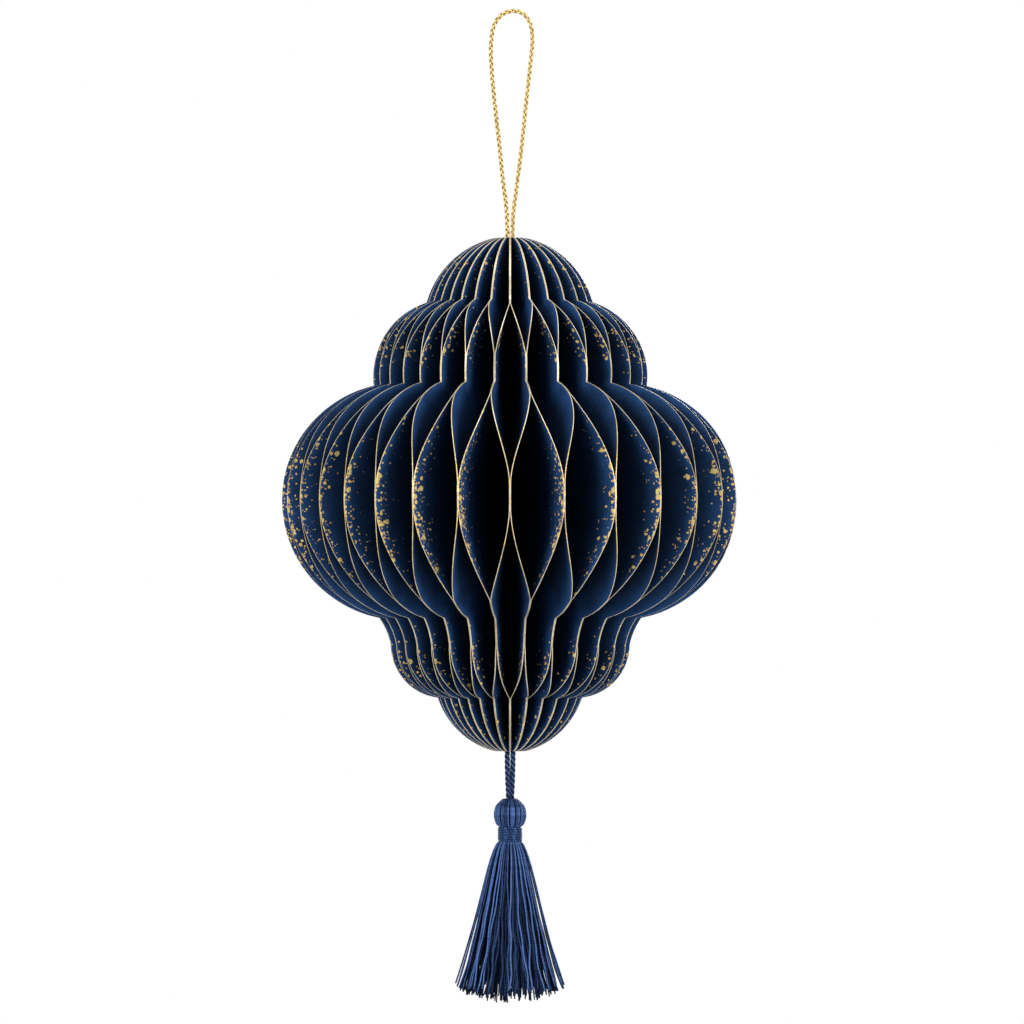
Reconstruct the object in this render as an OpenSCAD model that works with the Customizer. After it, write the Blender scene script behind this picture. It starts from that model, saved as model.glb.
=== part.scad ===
// Honeycomb paper lantern: cut paper leaves fanned round a spine and glued to their neighbours by turns,
// so that cells open between them. It hangs by a cord loop and carries a tassel.
// The origin is where a hook bears inside the top of the loop, and +Z is up.

/* [Leaves] */
// Number of leaf pairs round the axis
leaf_pairs = 27; // [12:1:27]
// Thickness of one paper leaf
leaf_t = 0.2; // [0.2:0.05:0.5]
// Thickness of the glue film between joined faces
glue_film = 0.05; // [0.02:0.01:0.1]
// Spare room at the spine, so that the leaves stay apart there
spine_ease = 0.2; // [0.1:0.05:0.5]
// Least wall of the spine round the socket of a cord
spine_wall = 0.8; // [0.4:0.1:1.5]
// How far the leaves at the back are pushed round to the viewer's left, in degrees
fan_push = 20; // [0:1:24]

/* [Outline] */
// Width of the flat on a leaf at the top of the crown
crown_flat = 1.5; // [0.5:0.1:4]
// Height of the crown
crown_h = 17; // [12:0.5:22]
// Radius where the crown meets the shoulder
crown_r = 22; // [16:0.5:28]
// How far the crown's curve stands out from its chord
crown_rise = 3.3; // [1:0.1:3.5]
// Height of the shoulder
shoulder_h = 22; // [14:0.5:28]
// Radius where the shoulder meets the belly
shoulder_r = 36; // [30:0.5:44]
// How far the shoulder's curve stands out from its chord
shoulder_rise = 4.7; // [2:0.1:6]
// Height of the belly above its widest line
belly_upper_h = 30; // [26:0.5:40]
// Diameter of the belly
belly_d = 120; // [100:1:130]
// Height of the belly below its widest line
belly_lower_h = 31; // [27:0.5:40]
// Radius where the belly meets the hip
hip_r = 34.5; // [32:0.5:44]
// Height of the hollow stretch under the belly
hip_h = 7; // [4:0.5:10]
// Depth of the hip's hollow curve
hip_hollow = 0.4; // [0.1:0.1:1]
// Radius where the hip meets the cup
waist_r = 31.5; // [26:0.5:34]
// Height of the cup below the hip
cup_h = 14; // [10:0.5:20]
// How far the cup's curve stands out from its chord
cup_rise = 3.5; // [1:0.1:5]
// Radius where the cup meets the tail
tail_r = 19; // [14:0.2:24]
// Height of the tail
tail_h = 14; // [10:0.5:20]
// How far the tail's curve stands out from its chord
tail_rise = 2.6; // [1:0.1:3.5]
// Width of the flat on a leaf at the bottom of the tail
tail_flat = 1.1; // [0.5:0.1:4]

/* [Glue bands] */
// Reach of the crown band below the crown's foot
crown_band_down = 1.4; // [0.4:0.1:3]
// Reach of the shoulder band above the shoulder's foot
shoulder_band_up = 7; // [3:0.5:10]
// Reach of the shoulder band below the shoulder's foot
shoulder_band_down = 3.5; // [1:0.5:6]
// Half height of the band at the widest line
belly_band_half = 2.6; // [1:0.2:6]
// Reach of the hip band above the hip
hip_band_up = 4.6; // [2:0.2:8]

/* [Cords] */
// Drop from the hook to the top of the leaves
hook_drop = 59.4; // [45:0.2:90]
// Width of the hanging loop between its two legs
loop_w = 11; // [10:0.5:16]
// Diameter of the hanging cord
hang_cord_d = 1.2; // [0.8:0.1:1.4]
// Diameter of the tassel cord
tassel_cord_d = 1.4; // [1:0.1:1.4]
// Length of each cord's ends inside the spine
cord_seat_h = 10; // [6:0.5:20]
// Turn of the tassel cord's legs round each other on the way down, in degrees
leg_turn = 60; // [0:5:75]
// Clearance round the cords in their sockets
cord_fit = 0.1; // [0.05:0.05:0.2]

/* [Tassel] */
// Drop from the leaves to the top of the tassel
tassel_drop = 12.4; // [8:0.2:20]
// Height of the tassel's head
head_h = 7.4; // [6:0.2:10]
// Largest radius of the head
head_r = 4.3; // [3.4:0.1:6]
// Radius of the head's top
head_top_r = 2; // [2:0.1:3]
// Depth of the cord's socket in the head
head_seat_h = 3.5; // [3:0.1:5]
// Radius of the head and the skirt where they meet the binding
collar_r = 3.3; // [3:0.1:4]
// Radius of the neck under the binding
neck_r = 2.8; // [2.2:0.1:2.8]
// Height of the binding
wrap_h = 4; // [3:0.2:6]
// Turns of thread in the binding
wrap_turns = 9; // [4:1:9]
// Drop from the binding to the skirt's hem at its rim
skirt_h = 38.4; // [30:0.2:50]
// How far the skirt springs out just under the binding
skirt_spring = 1.3; // [0.5:0.1:2]
// Radius of the hem
hem_r = 14.6; // [10:0.2:18]
// How much lower the hem hangs at its middle
hem_drop = 3.8; // [2:0.2:6]
// Clumps of threads round the skirt
thread_clumps = 24; // [16:1:26]
// Depth of the grooves between the clumps at the hem
clump_groove = 0.7; // [0.2:0.1:1]

/* [Hidden] */
leaf_count = 2 * leaf_pairs;

// The fan isn't open evenly all round. From the front as far as the first turn its pairs stand evenly.
// As far as the second turn they are pushed on more and more, so they crowd between that and the front
push_start = 80;
push_peak = 240;

// Turn of one pair from the front
function pair_turn(pair) =
    let (even = pair * 360 / leaf_pairs)
    even + fan_push * (even < push_peak
        ? max(0, even - push_start) / (push_peak - push_start)
        : pow(cos(90 * (even - push_peak) / (360 - push_peak)), 2));

// Half of the wedge between one pair and the next, which is the room that a leaf has to lean in
function half_gap(pair) = (pair_turn(pair + 1) - pair_turn(pair)) / 2;
least_gap = min([for (pair = [0:leaf_pairs - 1]) half_gap(pair)]);

// Round socket that takes the two legs of a cord side by side, and how far each leg is off its middle
function socket_r(cord_d) = cord_d + cord_fit;
function leg_x(cord_d) = (cord_d + cord_fit) / 2;

// Two glued leaves need this radius to lie side by side in the narrowest wedge, and the sockets need a wall
leaf_inner_r = max(
    (leaf_t + glue_film) / (least_gap * PI / 180) + spine_ease,
    max(socket_r(hang_cord_d), socket_r(tassel_cord_d)) + spine_wall + glue_film
);
core_r = leaf_inner_r - glue_film;

// Depths below the top of the leaves where one tier of the outline ends and the next begins
crown_foot = crown_h;
shoulder_foot = crown_foot + shoulder_h;
belly_line = shoulder_foot + belly_upper_h;
belly_foot = belly_line + belly_lower_h;
hip_foot = belly_foot + hip_h;
cup_foot = hip_foot + cup_h;
body_h = cup_foot + tail_h;

belly_r = belly_d / 2;
top_z = -hook_drop;
bottom_z = top_z - body_h;

// Rise of an arc that leaves the widest line upright
function upright_rise(run, height) =
    let (chord = norm([run, height]), radius = chord * chord / (2 * run))
    radius - sqrt(radius * radius - chord * chord / 4);

// Each tier: depth and radius at its top, depth and radius at its foot, rise of its arc
tiers = [
    [0, leaf_inner_r + crown_flat, crown_foot, crown_r, crown_rise],
    [crown_foot, crown_r, shoulder_foot, shoulder_r, shoulder_rise],
    [shoulder_foot, shoulder_r, belly_line, belly_r, upright_rise(belly_r - shoulder_r, belly_upper_h)],
    [belly_line, belly_r, belly_foot, hip_r, upright_rise(belly_r - hip_r, belly_lower_h)],
    [belly_foot, hip_r, hip_foot, waist_r, -hip_hollow],
    [hip_foot, waist_r, cup_foot, tail_r, cup_rise],
    [cup_foot, tail_r, body_h, leaf_inner_r + tail_flat, tail_rise]
];

// Radius at one depth on the arc between two points that stands out from its chord by a rise
function arc_r(top_depth, top_r, foot_depth, foot_r, rise, depth) =
    let (
        run = foot_r - top_r,
        drop = foot_depth - top_depth,
        chord = norm([run, drop]),
        radius = (chord * chord / 4 + rise * rise) / (2 * rise),
        centre_r = (top_r + foot_r) / 2 - (radius - rise) * drop / chord,
        centre_depth = (top_depth + foot_depth) / 2 + (radius - rise) * run / chord,
        away = depth - centre_depth
    )
    centre_r + sign(rise) * sqrt(max(0, radius * radius - away * away));

function tier_r(tier, depth) = arc_r(tier[0], tier[1], tier[2], tier[3], tier[4], depth);

function outline_r(depth) =
    let (inside = [for (tier = tiers) if (depth <= tier[2]) tier])
    tier_r(inside[0], depth);

// Each glue band: depths of its ends, the side that a leaf is glued on, and how sharply the leaf
// comes in at its upper end and goes out at its lower end, as multiples of the mean slope
bands = [
    [0, crown_foot + crown_band_down, 1, 0, 1.5],
    [shoulder_foot - shoulder_band_up, shoulder_foot + shoulder_band_down, -1, 0.5, 0.9],
    [belly_line - belly_band_half, belly_line + belly_band_half, 1, 0, 0],
    [belly_foot - hip_band_up, hip_foot, -1, 1.5, 0.3],
    [cup_foot, body_h, 1, 3, 0]
];

// Smooth step from 0 to 1 with given slopes at its ends
function cross_over(f, out_slope, in_slope) =
    f * f * (3 - 2 * f) + f * (1 - f) * (1 - f) * out_slope - f * f * (1 - f) * in_slope;

// Side that the leaf leans to at one depth: 1 or -1 in a band, and between them on the way across
function lean(depth) =
    let (
        below = [for (k = [0:len(bands) - 1]) if (depth <= bands[k][1]) k][0],
        band = bands[below]
    )
    depth >= band[0]
        ? band[2]
        : let (last = bands[below - 1], f = (depth - last[1]) / (band[0] - last[1]))
          last[2] * (1 - 2 * cross_over(f, last[4], band[3]));

// Stretches of a leaf from the top down: depth of the foot, number of facets, and a power that
// crowds the facets to the top where it is over 1 and to the foot where it is under 1
stretches = [
    [0, 0, 1],
    [crown_foot, 4, 2],
    [bands[0][1], 1, 1],
    [bands[1][0], 3, 1.3],
    [shoulder_foot, 1, 1],
    [bands[1][1], 1, 1],
    [bands[2][0], 4, 1],
    [bands[2][1], 1, 1],
    [bands[3][0], 4, 0.9],
    [belly_foot, 1, 1],
    [hip_foot, 1, 1],
    [cup_foot, 3, 0.75],
    [body_h, 3, 0.5]
];

function crowd(f, power) = power >= 1 ? pow(f, power) : 1 - pow(1 - f, 1 / power);

stations = [
    0,
    for (k = [1:len(stretches) - 1])
        let (from = stretches[k - 1][0], to = stretches[k][0], facets = stretches[k][1])
        for (j = [1:facets]) from + (to - from) * crowd(j / facets, stretches[k][2])
];

// Corners of the leaf's section at one depth, for the leaf just past the middle plane of its pair
function leaf_section(depth, room) =
    let (
        side = lean(depth),
        turn = room * (1 - side) / 2,
        middle = side * (leaf_t + glue_film) / 2,
        outer_r = outline_r(depth),
        along = [cos(turn), sin(turn)],
        across = [-sin(turn), cos(turn)]
    )
    [
        for (corner = [[leaf_inner_r, -1], [outer_r, -1], [outer_r, 1], [leaf_inner_r, 1]])
            let (p = corner[0] * along + (middle + corner[1] * leaf_t / 2) * across)
            [p.x, p.y, top_z - depth]
    ];

// Triangles of the wall between rings of equal size, listed from the top down. Half of the way round
// they are cut along the other diagonal, so that the two faces of a thin leaf are cut alike
function wall_faces(rings, sides) = [
    for (k = [0:rings - 2], j = [0:sides - 1])
        let (next = (j + 1) % sides, top = k * sides, foot = top + sides)
        each j < sides / 2
            ? [[top + j, top + next, foot + next], [top + j, foot + next, foot + j]]
            : [[top + j, top + next, foot + j], [top + next, foot + next, foot + j]]
];

// Triangles of a flat end, as a fan from its first corner
function top_face(first, sides) = [for (j = [1:sides - 2]) [first, first + j + 1, first + j]];
function foot_face(first, sides) = [for (j = [1:sides - 2]) [first, first + j, first + j + 1]];

// Solid through rings of equal size, listed from the top down
module ring_solid(rings) {
    sides = len(rings[0]);
    last = (len(rings) - 1) * sides;
    polyhedron(
        [for (ring = rings) each ring],
        concat(wall_faces(len(rings), sides), top_face(0, sides), foot_face(last, sides))
    );
}

// One paper leaf. The two of a pair lean away from each other, and the first pair faces -Y
module leaf(number) {
    pair = floor((number - 1) / 2);
    leans_back = number % 2 == 0;
    room = half_gap(leans_back ? (pair + leaf_pairs - 1) % leaf_pairs : pair);
    color("midnightblue")
        rotate([0, 0, pair_turn(pair) - 90])
            mirror([0, leans_back ? 1 : 0, 0])
                ring_solid([for (depth = stations) leaf_section(depth, room)]);
}

// Bound inner edges of the leaves, with a socket for a cord in each end
module spine_core() {
    socket_h = cord_seat_h + glue_film;
    color("darkslateblue")
        difference() {
            translate([0, 0, bottom_z])
                cylinder(h = body_h, r = core_r, $fn = 64);
            translate([0, 0, top_z - socket_h])
                cylinder(h = socket_h + cord_fit, r = socket_r(hang_cord_d), $fn = 32);
            translate([0, 0, bottom_z - cord_fit])
                cylinder(h = socket_h + cord_fit, r = socket_r(tassel_cord_d), $fn = 32);
        }
}

// Free stretch of the hanging cord, up one leg, over the top and down the other: how far each point is
// to the side as a share of the loop's width, and below the top as a share of the loop's height
loop_points = [
    [-0.073, 0.91], [-0.1, 0.843], [-0.173, 0.743], [-0.264, 0.577], [-0.364, 0.41], [-0.427, 0.293],
    [-0.455, 0.21], [-0.455, 0.143], [-0.409, 0.08], [-0.318, 0.04], [-0.145, 0.01], [0.073, 0],
    [0.273, 0.008], [0.436, 0.037], [0.518, 0.08], [0.536, 0.143], [0.5, 0.21], [0.455, 0.293],
    [0.382, 0.41], [0.291, 0.577], [0.182, 0.743], [0.109, 0.843], [0.073, 0.91]
];
loop_h = hook_drop + hang_cord_d / 2;
hang_seat = [for (share = [1, 0.5, 0]) top_z - share * cord_seat_h];
hang_route = [
    for (z = hang_seat) [-leg_x(hang_cord_d), 0, z],
    for (p = loop_points) [p.x * loop_w, 0, hang_cord_d / 2 - p.y * loop_h],
    for (k = [2:-1:0]) [leg_x(hang_cord_d), 0, hang_seat[k]]
];

tassel_top = bottom_z - tassel_drop;
socket_foot = tassel_top - head_seat_h;
bight_z = socket_foot + glue_film + tassel_cord_d / 2;

// Point of the tassel cord: its share of a leg's distance from the axis, its turn and its height
function leg_point(share, turn, z) = concat(-share * leg_x(tassel_cord_d) * [cos(turn), sin(turn)], z);

// Route of the tassel cord: down one leg, round the bight inside the tassel's head and up the other leg
tassel_leg = [
    for (share = [1, 0.5]) leg_point(1, 0, bottom_z + share * cord_seat_h),
    for (f = [0:0.25:1]) leg_point(1, f * leg_turn, bottom_z - f * tassel_drop),
    leg_point(1, leg_turn, bight_z + leg_x(tassel_cord_d)),
    leg_point(0.7, leg_turn, bight_z + 0.3 * leg_x(tassel_cord_d))
];
tassel_route = [
    each tassel_leg,
    [0, 0, bight_z],
    for (k = [len(tassel_leg) - 1:-1:0]) [-tassel_leg[k].x, -tassel_leg[k].y, tassel_leg[k].z]
];

cord_sides = 8;

// Direction of a route at one of its points
function heading(route, k) =
    let (step = route[min(k + 1, len(route) - 1)] - route[max(k - 1, 0)])
    step / norm(step);

// Round ring of a cord across its route
function cord_ring(route, k, cord_d) =
    let (
        ahead = heading(route, k),
        aside = [0, 1, 0] - ahead.y * ahead,
        first = aside / norm(aside),
        second = cross(ahead, first)
    )
    [
        for (j = [0:cord_sides - 1])
            let (a = 360 * j / cord_sides)
            route[k] + cord_d / 2 * (cos(a) * first + sin(a) * second)
    ];

// Round tube along a route. Its rings are listed against the heading, as from the top down
module cord(route, cord_d) {
    ring_solid([for (k = [len(route) - 1:-1:0]) cord_ring(route, k, cord_d)]);
}

module hanging_loop() {
    color("goldenrod")
        cord(hang_route, hang_cord_d);
}

module tassel_loop() {
    color("navy")
        cord(tassel_route, tassel_cord_d);
}

neck_top = tassel_top - head_h;
neck_foot = neck_top - wrap_h;
rim_z = neck_foot - skirt_h;
head_groove = clump_groove / 3;
clump_sides = 2 * thread_clumps;

// Ring of thread clumps: every second corner lies in a groove
function clump_ring(z, r, groove) = [
    for (j = [0:clump_sides - 1])
        let (a = 360 * j / clump_sides, reach = r - (j % 2 == 1 ? groove : 0))
        [reach * cos(a), reach * sin(a), z]
];

// Radius of the head's round side, from its top at f = 0 to the binding at f = 1
function head_side_r(f) =
    arc_r(0, head_top_r, head_h, collar_r, head_r - (head_top_r + collar_r) / 2, f * head_h);

// Radius of the skirt, which springs out from under the binding and then flares to the hem
function skirt_r(f) =
    let (flare = hem_r - collar_r - skirt_spring)
    collar_r + skirt_spring * (1 - pow(1 - f, 12)) + flare * (0.75 * f + 0.25 * f * f);

head_steps = [0, 0.16, 0.4, 0.66, 0.88];
skirt_steps = [0.06, 0.2, 0.45, 0.75];

// Threads folded over the cord: the round head, the bound neck and the flared skirt.
// The rings run from the floor of the cord's socket over its rim and down the outside
module tassel_hank() {
    color("darkblue")
        ring_solid(concat(
            [for (z = [socket_foot, tassel_top]) clump_ring(z, socket_r(tassel_cord_d), 0)],
            [for (f = head_steps) clump_ring(tassel_top - f * head_h, head_side_r(f), head_groove)],
            [clump_ring(neck_top, collar_r, 0), clump_ring(neck_top, neck_r, 0)],
            [clump_ring(neck_foot, neck_r, 0), clump_ring(neck_foot, collar_r, 0)],
            [for (f = skirt_steps) clump_ring(neck_foot - f * skirt_h, skirt_r(f), f * clump_groove)],
            [clump_ring(rim_z, hem_r, clump_groove)],
            [clump_ring(rim_z - hem_drop * 0.7, hem_r * 0.6, clump_groove / 2)],
            [clump_ring(rim_z - hem_drop, hem_r * 0.15, 0)]
        ));
}

// Binding thread wound round the neck, turn upon turn
module tassel_wrap() {
    bound_h = wrap_h - 2 * glue_film;
    pitch = bound_h / wrap_turns;
    bore_r = neck_r + glue_film;
    color("royalblue")
        translate([0, 0, neck_foot + glue_film])
            rotate_extrude($fn = 64) {
                translate([bore_r, 0])
                    square([pitch * 0.7, bound_h]);
                for (k = [0:wrap_turns - 1])
                    translate([bore_r + pitch / 2, (k + 0.5) * pitch])
                        circle(d = pitch, $fn = 24);
            }
}

function leaf_name(number) = str("leaf_", number < 10 ? "0" : "", number);

for (number = [1:leaf_count])
    leaf(number);
spine_core();
hanging_loop();
tassel_loop();
tassel_hank();
tassel_wrap();
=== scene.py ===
# %% [markdown]
# # A honeycomb paper lantern
# The frame is the lantern as solids: 54 paper leaves round a spine, a cord loop above them and a tassel
# below. This lesson dresses it. The leaves become thin sheets with gilt edges and gold spatter, the cords
# become plaited and twisted strands, and the tassel becomes threads. Lengths are millimetres until a mesh
# is made.

# %% Load the frame and keep its box
import math
import random

import bmesh
import bpy
import numpy as np
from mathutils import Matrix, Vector


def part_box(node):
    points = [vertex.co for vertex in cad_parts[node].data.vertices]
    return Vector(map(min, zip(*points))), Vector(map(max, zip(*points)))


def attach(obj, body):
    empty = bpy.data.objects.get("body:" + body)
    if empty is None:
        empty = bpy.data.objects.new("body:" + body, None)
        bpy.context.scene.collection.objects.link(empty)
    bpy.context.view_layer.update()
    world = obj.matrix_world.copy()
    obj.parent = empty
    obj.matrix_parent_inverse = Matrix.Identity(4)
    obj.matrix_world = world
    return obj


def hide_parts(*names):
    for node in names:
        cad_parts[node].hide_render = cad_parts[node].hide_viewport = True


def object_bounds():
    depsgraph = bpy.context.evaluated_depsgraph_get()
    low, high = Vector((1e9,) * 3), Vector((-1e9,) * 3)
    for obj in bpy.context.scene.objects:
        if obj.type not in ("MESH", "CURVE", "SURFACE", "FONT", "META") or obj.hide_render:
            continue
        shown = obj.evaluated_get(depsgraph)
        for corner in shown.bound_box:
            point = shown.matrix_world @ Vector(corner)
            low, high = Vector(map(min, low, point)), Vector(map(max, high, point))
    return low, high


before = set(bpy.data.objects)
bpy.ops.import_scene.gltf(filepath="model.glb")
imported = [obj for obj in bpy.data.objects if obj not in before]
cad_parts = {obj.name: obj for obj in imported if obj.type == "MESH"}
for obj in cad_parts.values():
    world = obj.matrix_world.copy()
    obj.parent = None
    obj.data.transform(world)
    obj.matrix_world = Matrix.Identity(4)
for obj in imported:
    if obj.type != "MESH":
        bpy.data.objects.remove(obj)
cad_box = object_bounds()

MM = 0.001
scene = bpy.context.scene

# %% [markdown]
# ## The camera
# The photograph was taken with a long lens from a little below the lantern's middle: the near kinks sit
# higher than the outline's at the top and lower at the bottom. A camera 1.6 m away, tilted up by one
# degree, shows the same difference, so it stands there and aims at the middle of the picture.

# %% Place the camera
CAMERA_PLACE = Vector((0.5, -1600, -159)) * MM
CAMERA_AIM = Vector((0.5, 0, -131.5)) * MM
CAMERA_LENS = 213.7

camera = bpy.data.objects.new("camera", bpy.data.cameras.new("camera"))
camera.data.lens = CAMERA_LENS
camera.data.clip_start = 0.05
camera.location = CAMERA_PLACE
camera.rotation_euler = (CAMERA_AIM - CAMERA_PLACE).to_track_quat("-Z", "Y").to_euler()
scene.collection.objects.link(camera)
scene.camera = camera
print("Camera", round((CAMERA_AIM - CAMERA_PLACE).length, 3), "m from the lantern's axis")

# %% [markdown]
# ## Threads rolled from a grid
# Cords and tassel are all made of round threads. A curve with a bevel could draw them, but a grid that is
# rolled round a line of points keeps a map of its own: once round in u, and the length along it in v. The
# material can then lay fine filaments along every thread.

# %% Helpers for lines
def run_along(line):
    """The length from the start of a line to each of its points."""
    return np.append(0, np.cumsum(np.linalg.norm(np.diff(line, axis=0), axis=1)))


def even_line(line, step):
    """The same line with its points evenly spaced by about one step."""
    run = run_along(line)
    at = np.linspace(0, run[-1], max(2, round(run[-1] / step)) + 1)
    return np.column_stack([np.interp(at, run, line[:, axis]) for axis in range(3)])


def smooth_line(points, step):
    """Evenly spaced points on a smooth curve through the given ones."""
    p = np.asarray(points, float)
    p = np.vstack([2 * p[0] - p[1], p, 2 * p[-1] - p[-2]])
    t = np.linspace(0, 1, 24, endpoint=False)[:, None]
    curve = [
        b + 0.5 * ((c - a) * t + (2 * a - 5 * b + 4 * c - d) * t**2 + (3 * b - a - 3 * c + d) * t**3)
        for a, b, c, d in zip(p, p[1:], p[2:], p[3:])
    ]
    return even_line(np.vstack(curve + [p[-2:-1]]), step)


def cross_frames(line, facing=None):
    """Two directions across a line: the first turns no more than the line does, or faces where it is told."""
    ahead = np.gradient(line, axis=0)
    ahead /= np.linalg.norm(ahead, axis=1)[:, None]
    first = np.zeros_like(line)
    near = np.array([0.0, 1.0, 0.0]) if abs(ahead[0][1]) < 0.9 else np.array([1.0, 0.0, 0.0])
    for k, heading in enumerate(ahead):
        near = near if facing is None else facing[k]
        near = near - heading * near.dot(heading)
        near /= np.linalg.norm(near)
        first[k] = near
    return first, np.cross(ahead, first)


print("Line helpers are ready")

# %% Helpers for threads and finished pieces
def finished_piece(bm, name, materials):
    """Turns the faces outwards and makes the mesh an object at the origin that rides on the lantern."""
    bmesh.ops.recalc_face_normals(bm, faces=bm.faces)
    mesh = bpy.data.meshes.new(name)
    bm.to_mesh(mesh)
    bm.free()
    for material in materials:
        mesh.materials.append(material)
    piece = bpy.data.objects.new(name, mesh)
    scene.collection.objects.link(piece)
    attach(piece, "root")
    return piece


SHADING = 3.0  # how fast the painted shade darkens a thread from its outer to its inner side


class ThreadWork:
    """Collects threads in one mesh: each is a grid rolled round a line and welded along its seam."""

    def __init__(self):
        self.bm = bmesh.new()
        self.uv = self.bm.loops.layers.uv.new("thread")
        self.tone = self.bm.verts.layers.float.new("tone")
        self.seam = {}

    def add(self, line, radius, sides, heart, tone=0.5, flat=1.0, facing=None):
        """A thread round a line. Its tone sinks, as painted shade, on the side that lies towards the heart of
        the bundle.
        """
        rows, run = len(line) - 1, run_along(line)
        first, second = cross_frames(line, facing)
        turns = np.linspace(0, math.tau, sides + 1)[:, None]
        spokes = flat * np.cos(turns) * first[:, None] + np.sin(turns) * second[:, None]
        places = line[:, None] + radius * spokes
        reach = np.linalg.norm(line - heart, axis=1)[:, None]
        outward = (np.linalg.norm(places - heart[:, None], axis=2) - reach) / (radius * flat)
        # Painted shade: the tone falls towards the side of the thread that faces the heart
        tones = np.broadcast_to(tone, rows + 1)[:, None] * np.clip(0.5 + outward / 2, 0, 1) ** SHADING
        grid = bmesh.ops.create_grid(self.bm, x_segments=sides, y_segments=rows, size=0.5)["verts"]
        corner, mapped = {}, {}
        for v in grid:
            i, k = round((v.co.x + 0.5) * sides), round((v.co.y + 0.5) * rows)
            v.co, v[self.tone] = places[k, i] * MM, tones[k, i]
            corner[i, k], mapped[v] = v, (i / sides, run[k])
        for face in {f for v in grid for f in v.link_faces}:
            face.smooth = True
            for loop in face.loops:
                loop[self.uv].uv = mapped[loop.vert]
        self.seam.update({corner[sides, k]: corner[0, k] for k in range(rows + 1)})

    def piece(self, name, *materials):
        bmesh.ops.weld_verts(self.bm, targetmap=self.seam)
        bmesh.ops.holes_fill(self.bm, edges=[e for e in self.bm.edges if e.is_boundary], sides=0)
        return finished_piece(self.bm, name, materials)


print("Thread helpers are ready")

# %% [markdown]
# ## Node helpers
# Every finish is drawn by nodes, so nothing depends on a picture file. A few short helpers keep the recipes
# readable: they add a node with its values, do a sum, mix two colours, or start a group or a material.

# %% Helpers for node trees
def link_or_set(tree, made, inputs):
    """Each input is a plain value, or an output socket that is then linked to it."""
    for key, value in inputs.items():
        if isinstance(value, bpy.types.NodeSocket):
            tree.links.new(value, made.inputs[key])
        else:
            made.inputs[key].default_value = value
    return made


def node(tree, kind, inputs=None, **settings):
    made = tree.nodes.new("ShaderNode" + kind)
    for name, value in settings.items():
        setattr(made, name, value)
    return link_or_set(tree, made, inputs or {})


def calc(tree, operation, *values):
    """One sum on values or sockets."""
    return node(tree, "Math", dict(enumerate(values)), operation=operation).outputs[0]


def stretch(tree, value, low, high, to_low=0.0, to_high=1.0):
    """Maps a value smoothly from one range to another."""
    inputs = {"Value": value, 1: low, 2: high, 3: to_low, 4: to_high}
    return node(tree, "MapRange", inputs, interpolation_type="SMOOTHSTEP").outputs[0]


def mix(tree, share, under, over, blend="MIX"):
    """Mixes two colours, each given as a socket or as plain red, green and blue."""
    under, over = (c if isinstance(c, bpy.types.NodeSocket) else (*c, 1.0) for c in (under, over))
    return node(tree, "Mix", {0: share, 6: under, 7: over}, data_type="RGBA", blend_type=blend).outputs[2]


def bump(tree, height, depth):
    """A normal for a surface whose height goes up and down by a depth in millimetres."""
    return node(tree, "Bump", {"Height": height, "Distance": depth * MM}).outputs[0]


print("Node helpers are ready")

# %% Helpers for groups and materials
def new_group(name, inputs, outputs):
    """A shader node group with named sockets. Returns its tree, its given values and its output node."""
    tree = bpy.data.node_groups.new(name, "ShaderNodeTree")
    for title, kind in inputs.items():
        tree.interface.new_socket(title, in_out="INPUT", socket_type="NodeSocket" + kind)
    for title, kind in outputs.items():
        tree.interface.new_socket(title, in_out="OUTPUT", socket_type="NodeSocket" + kind)
    return tree, tree.nodes.new("NodeGroupInput").outputs, tree.nodes.new("NodeGroupOutput")


def use_group(tree, group, inputs):
    """Places a node group in a material and returns its output sockets."""
    return link_or_set(tree, node(tree, "Group", node_tree=group), inputs).outputs


def new_material(name, **shader_values):
    """A material with a Principled shader, whose plain values are set on its own sockets."""
    material = bpy.data.materials.new(name)
    material.use_nodes = True
    shader = material.node_tree.nodes["Principled BSDF"].inputs
    for title, value in shader_values.items():
        shader[title.replace("_", " ")].default_value = value
    return material, material.node_tree, shader


print("Group helpers are ready")

# %% [markdown]
# ## Shared effects
# Three effects are used by more than one finish, so each is a node group. Paper fibre is a fine mottling.
# Filaments are the fibres along a thread, laid on the thread's own map. Gold spatter is what a stiff brush
# flicks on the lantern's rim. It is thickest at the edge of each sheet and thins out inwards, so besides
# the place on the sheet it is told how far the edge is and how much gold lands at that height.

# %% Group: paper fibre
paper_fibre, given, result = new_group(
    "paper_fibre", {"Vector": "Vector"}, {"Tone": "Float", "Height": "Float"}
)
cloud = node(paper_fibre, "TexNoise", {"Vector": given["Vector"], "Scale": 160.0, "Detail": 3.0}).outputs[0]
grain = node(paper_fibre, "TexNoise", {"Vector": given["Vector"], "Scale": 1400.0, "Detail": 4.0}).outputs[0]
tone = calc(paper_fibre, "MULTIPLY_ADD", cloud, 1.2, calc(paper_fibre, "MULTIPLY_ADD", grain, 0.7, 0.05))
paper_fibre.links.new(tone, result.inputs["Tone"])
paper_fibre.links.new(grain, result.inputs["Height"])
print("Group:", paper_fibre.name)

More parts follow.
